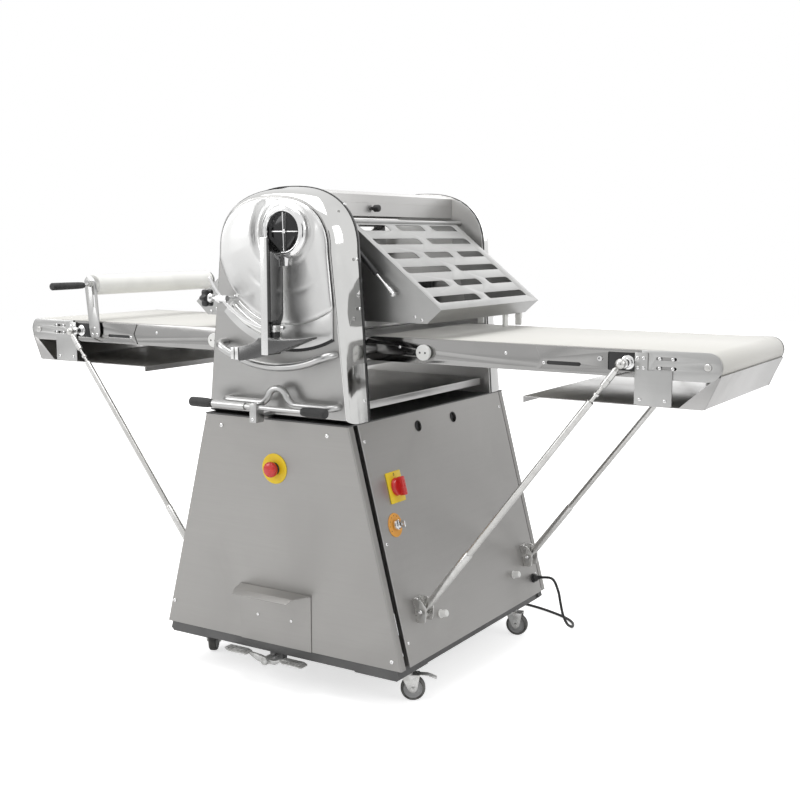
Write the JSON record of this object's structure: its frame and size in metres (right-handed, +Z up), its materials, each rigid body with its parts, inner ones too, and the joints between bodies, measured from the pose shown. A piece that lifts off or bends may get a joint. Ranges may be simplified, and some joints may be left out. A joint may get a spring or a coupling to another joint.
{
  "type": "dough sheeter",
  "caption": "Floor-standing dough sheeter with pressing rollers in a polished head, belt tables that fold down on struts, slotted lifting guards, a gap lever and a cabinet base on castors.",
  "frame": {"origin": "on the floor, under the middle of the machine's outer box without its power cord", "axes": "+X along the tables to the operator's right, +Y away from the operator, +Z up"},
  "size_m": [2.159, 1.0558, 1.285],
  "materials": {
    "satin_steel": "satin stainless sheet, finely brushed",
    "polished_steel": "mirror-polished stainless sheet and bright bar",
    "frame_steel": "dull grey steel plate",
    "zinc_steel": "bright zinc-plated or ground steel",
    "belt_cloth": "off-white woven conveyor belt, matte",
    "white_nylon": "white turned nylon",
    "black_plastic": "black moulded plastic",
    "cord_rubber": "black rubber sheath",
    "wheel_rubber": "dark grey tread on a grey core",
    "red_plastic": "red moulded plastic",
    "motor_paint": "blue-grey enamel"
  },
  "bodies": {
    "root": {"base_frame": "frame_steel", "front_panel": "satin_steel", "rear_panel": "satin_steel", "right_side_panel": "satin_steel", "left_side_panel": "satin_steel", "pedal_cover": "satin_steel", "near_side_plate": "frame_steel", "far_side_plate": "frame_steel", "near_cover": "polished_steel", "far_cover": "polished_steel", "front_shell": "polished_steel", "arc_rail": "polished_steel", "hand_guard_rail": "polished_steel", "top_beam": "polished_steel", "scraper_bed": "frame_steel", "drive_motor": "motor_paint", "power_cord": "cord_rubber", "cord_coil": "cord_rubber", "power_plug": "black_plastic"},
    "flour_tray": {"flour_tray": "satin_steel"},
    "gap_lever": {"gap_lever": "polished_steel"},
    "stop_knob": {"stop_knob": "black_plastic"},
    "roller_carriage": {"roller_carriage": "frame_steel"},
    "upper_roller": {"upper_roller": "polished_steel"},
    "lower_roller": {"lower_roller": "polished_steel"},
    "hand_bar": {"hand_bar": "polished_steel"},
    "foot_pedal": {"foot_pedal": "zinc_steel"},
    "stop_button": {"stop_button": "red_plastic"},
    "isolator_knob": {"isolator_knob": "red_plastic"},
    "key_switch": {"key_switch": "zinc_steel"},
    "reeling_pin": {"reeling_pin": "white_nylon"},
    "right_table": {"right_table_frame": "polished_steel", "right_flour_pan": "satin_steel", "right_belt": "belt_cloth"},
    "right_guard": {"right_guard": "satin_steel"},
    "right_drive_roller": {"right_drive_roller": "zinc_steel"},
    "right_end_roller": {"right_end_roller": "zinc_steel"},
    "right_near_strut": {"right_near_strut": "zinc_steel"},
    "right_far_strut": {"right_far_strut": "zinc_steel"},
    "right_spring_cylinder": {"right_spring_cylinder": "black_plastic"},
    "right_spring_rod": {"right_spring_rod": "zinc_steel"},
    "left_table": {"left_table_frame": "polished_steel", "left_flour_pan": "satin_steel", "left_belt": "belt_cloth"},
    "left_guard": {"left_guard": "satin_steel"},
    "left_drive_roller": {"left_drive_roller": "zinc_steel"},
    "left_end_roller": {"left_end_roller": "zinc_steel"},
    "left_near_strut": {"left_near_strut": "zinc_steel"},
    "left_far_strut": {"left_far_strut": "zinc_steel"},
    "left_spring_cylinder": {"left_spring_cylinder": "black_plastic"},
    "left_spring_rod": {"left_spring_rod": "zinc_steel"},
    "caster_fork_front_right": {"caster_fork_front_right": "zinc_steel"},
    "caster_wheel_front_right": {"caster_wheel_front_right": "wheel_rubber"},
    "caster_fork_front_left": {"caster_fork_front_left": "zinc_steel"},
    "caster_wheel_front_left": {"caster_wheel_front_left": "wheel_rubber"},
    "caster_fork_rear_right": {"caster_fork_rear_right": "zinc_steel"},
    "caster_wheel_rear_right": {"caster_wheel_rear_right": "wheel_rubber"},
    "caster_fork_rear_left": {"caster_fork_rear_left": "zinc_steel"},
    "caster_wheel_rear_left": {"caster_wheel_rear_left": "wheel_rubber"}
  },
  "joints": [
    {"name": "flour_tray_slide", "type": "slide", "parent": "root", "child": "flour_tray", "axis": [1, 0, 0], "range_m": [-0.28, 0]},
    {"name": "gap_lever_swing", "type": "hinge", "parent": "root", "child": "gap_lever", "pos_m": [0.05, -0.44875, 1.172], "axis": [0, 1, 0], "range_deg": [-12, 25]},
    {"name": "stop_knob_turn", "type": "hinge", "parent": "root", "child": "stop_knob", "pos_m": [-0.1494, -0.41875, 1.0069], "axis": [1, 0, 0], "range_deg": [-180, 180]},
    {"name": "roller_gap", "type": "slide", "parent": "root", "child": "roller_carriage", "axis": [0, 0, 1], "range_m": [-0.0106, 0.022]},
    {"name": "lower_roller_spin", "type": "hinge", "parent": "root", "child": "lower_roller", "pos_m": [0, 0.05025, 0.866], "axis": [0, 1, 0], "continuous": true},
    {"name": "upper_roller_spin", "type": "hinge", "parent": "roller_carriage", "child": "upper_roller", "pos_m": [0, 0.05025, 0.971], "axis": [0, 1, 0], "continuous": true},
    {"name": "hand_bar_rock", "type": "hinge", "parent": "root", "child": "hand_bar", "pos_m": [-0.016, -0.41875, 0.715], "axis": [0, 1, 0], "range_deg": [-12, 12], "stiffness_Nm_per_rad": 6},
    {"name": "foot_pedal_rock", "type": "hinge", "parent": "root", "child": "foot_pedal", "pos_m": [-0.016, -0.38675, 0.078], "axis": [0, 1, 0], "range_deg": [-9, 9], "stiffness_Nm_per_rad": 8},
    {"name": "stop_button_press", "type": "slide", "parent": "root", "child": "stop_button", "axis": [0, 1, 0], "range_m": [0, 0.004]},
    {"name": "isolator_turn", "type": "hinge", "parent": "root", "child": "isolator_knob", "pos_m": [0.26882, -0.22175, 0.535], "axis": [0.9678, 0, 0.2516], "range_deg": [0, 90]},
    {"name": "key_turn", "type": "hinge", "parent": "root", "child": "key_switch", "pos_m": [0.2917, -0.25775, 0.447], "axis": [0.9678, 0, 0.2516], "range_deg": [0, 90]},
    {"name": "right_table_fold", "type": "hinge", "parent": "root", "child": "right_table", "pos_m": [0.185, 0.05025, 0.879], "axis": [0, 1, 0], "range_deg": [0, 60]},
    {"name": "right_drive_roller_spin", "type": "hinge", "parent": "root", "child": "right_drive_roller", "pos_m": [0.185, 0.05025, 0.879], "axis": [0, 1, 0], "continuous": true},
    {"name": "right_end_roller_spin", "type": "hinge", "parent": "right_table", "child": "right_end_roller", "pos_m": [1.047, 0.05025, 0.879], "axis": [0, 1, 0], "continuous": true},
    {"name": "right_near_strut_swing", "type": "hinge", "parent": "root", "child": "right_near_strut", "pos_m": [0.364, -0.23475, 0.234], "axis": [0, 1, 0], "range_deg": [0, 60]},
    {"name": "right_far_strut_swing", "type": "hinge", "parent": "root", "child": "right_far_strut", "pos_m": [0.364, 0.36925, 0.234], "axis": [0, 1, 0], "range_deg": [0, 60]},
    {"name": "right_guard_lift", "type": "hinge", "parent": "root", "child": "right_guard", "pos_m": [0.122, 0.05025, 1.198], "axis": [0, -1, 0], "range_deg": [0, 50]},
    {"name": "right_spring_cylinder_swing", "type": "hinge", "parent": "root", "child": "right_spring_cylinder", "pos_m": [0.14, -0.22425, 1.145], "axis": [0, -1, 0], "range_deg": [0, 58]},
    {"name": "right_spring_rod_slide", "type": "slide", "parent": "right_spring_cylinder", "child": "right_spring_rod", "axis": [0.7071, 0, -0.7071], "range_m": [0, 0.04]},
    {"name": "left_table_fold", "type": "hinge", "parent": "root", "child": "left_table", "pos_m": [-0.185, 0.05025, 0.879], "axis": [0, -1, 0], "range_deg": [0, 60]},
    {"name": "left_drive_roller_spin", "type": "hinge", "parent": "root", "child": "left_drive_roller", "pos_m": [-0.185, 0.05025, 0.879], "axis": [0, 1, 0], "continuous": true},
    {"name": "left_end_roller_spin", "type": "hinge", "parent": "left_table", "child": "left_end_roller", "pos_m": [-1.047, 0.05025, 0.879], "axis": [0, 1, 0], "continuous": true},
    {"name": "left_near_strut_swing", "type": "hinge", "parent": "root", "child": "left_near_strut", "pos_m": [-0.364, -0.23475, 0.234], "axis": [0, -1, 0], "range_deg": [0, 60]},
    {"name": "left_far_strut_swing", "type": "hinge", "parent": "root", "child": "left_far_strut", "pos_m": [-0.364, 0.36925, 0.234], "axis": [0, -1, 0], "range_deg": [0, 60]},
    {"name": "left_guard_lift", "type": "hinge", "parent": "root", "child": "left_guard", "pos_m": [-0.122, 0.05025, 1.198], "axis": [0, 1, 0], "range_deg": [0, 50]},
    {"name": "left_spring_cylinder_swing", "type": "hinge", "parent": "root", "child": "left_spring_cylinder", "pos_m": [-0.14, -0.22425, 1.145], "axis": [0, 1, 0], "range_deg": [0, 58]},
    {"name": "left_spring_rod_slide", "type": "slide", "parent": "left_spring_cylinder", "child": "left_spring_rod", "axis": [-0.7071, 0, -0.7071], "range_m": [0, 0.04]},
    {"name": "reeling_pin_spin", "type": "hinge", "parent": "left_table", "child": "reeling_pin", "pos_m": [-0.815, 0.05025, 1.018], "axis": [0, 1, 0], "continuous": true},
    {"name": "caster_swivel_front_right", "type": "hinge", "parent": "root", "child": "caster_fork_front_right", "pos_m": [0.322, -0.25875, 0.0877], "axis": [0, 0, 1], "continuous": true},
    {"name": "caster_roll_front_right", "type": "hinge", "parent": "caster_fork_front_right", "child": "caster_wheel_front_right", "pos_m": [0.33914, -0.24845, 0.0315], "axis": [-0.515, 0.8572, 0], "continuous": true},
    {"name": "caster_swivel_front_left", "type": "hinge", "parent": "root", "child": "caster_fork_front_left", "pos_m": [-0.318, -0.25475, 0.0877], "axis": [0, 0, 1], "continuous": true},
    {"name": "caster_roll_front_left", "type": "hinge", "parent": "caster_fork_front_left", "child": "caster_wheel_front_left", "pos_m": [-0.32739, -0.23709, 0.0315], "axis": [-0.8829, -0.4695, 0], "continuous": true},
    {"name": "caster_swivel_rear_right", "type": "hinge", "parent": "root", "child": "caster_fork_rear_right", "pos_m": [0.322, 0.33125, 0.0877], "axis": [0, 0, 1], "continuous": true},
    {"name": "caster_roll_rear_right", "type": "hinge", "parent": "caster_fork_rear_right", "child": "caster_wheel_rear_right", "pos_m": [0.34156, 0.33541, 0.0315], "axis": [-0.2079, 0.9781, 0], "continuous": true},
    {"name": "caster_swivel_rear_left", "type": "hinge", "parent": "root", "child": "caster_fork_rear_left", "pos_m": [-0.322, 0.33125, 0.0877], "axis": [0, 0, 1], "continuous": true},
    {"name": "caster_roll_rear_left", "type": "hinge", "parent": "caster_fork_rear_left", "child": "caster_wheel_rear_left", "pos_m": [-0.33932, 0.34125, 0.0315], "axis": [-0.5, -0.866, 0], "continuous": true}
  ],
  "couplings": [
    {"joint": "roller_gap", "follows": "gap_lever_swing", "m_per_rad": 0.05},
    {"joint": "upper_roller_spin", "follows": "lower_roller_spin", "ratio": -1},
    {"joint": "right_drive_roller_spin", "follows": "lower_roller_spin", "ratio": 1.5},
    {"joint": "right_end_roller_spin", "follows": "lower_roller_spin", "ratio": 1.5},
    {"joint": "right_near_strut_swing", "follows": "right_table_fold", "ratio": 1},
    {"joint": "right_far_strut_swing", "follows": "right_table_fold", "ratio": 1},
    {"joint": "right_spring_cylinder_swing", "follows": "right_guard_lift", "ratio": 1.156},
    {"joint": "right_spring_rod_slide", "follows": "right_guard_lift", "m_per_rad": 0.0446},
    {"joint": "left_drive_roller_spin", "follows": "lower_roller_spin", "ratio": 1.5},
    {"joint": "left_end_roller_spin", "follows": "lower_roller_spin", "ratio": 1.5},
    {"joint": "left_near_strut_swing", "follows": "left_table_fold", "ratio": 1},
    {"joint": "left_far_strut_swing", "follows": "left_table_fold", "ratio": 1},
    {"joint": "left_spring_cylinder_swing", "follows": "left_guard_lift", "ratio": 1.156},
    {"joint": "left_spring_rod_slide", "follows": "left_guard_lift", "m_per_rad": 0.0446}
  ]
}
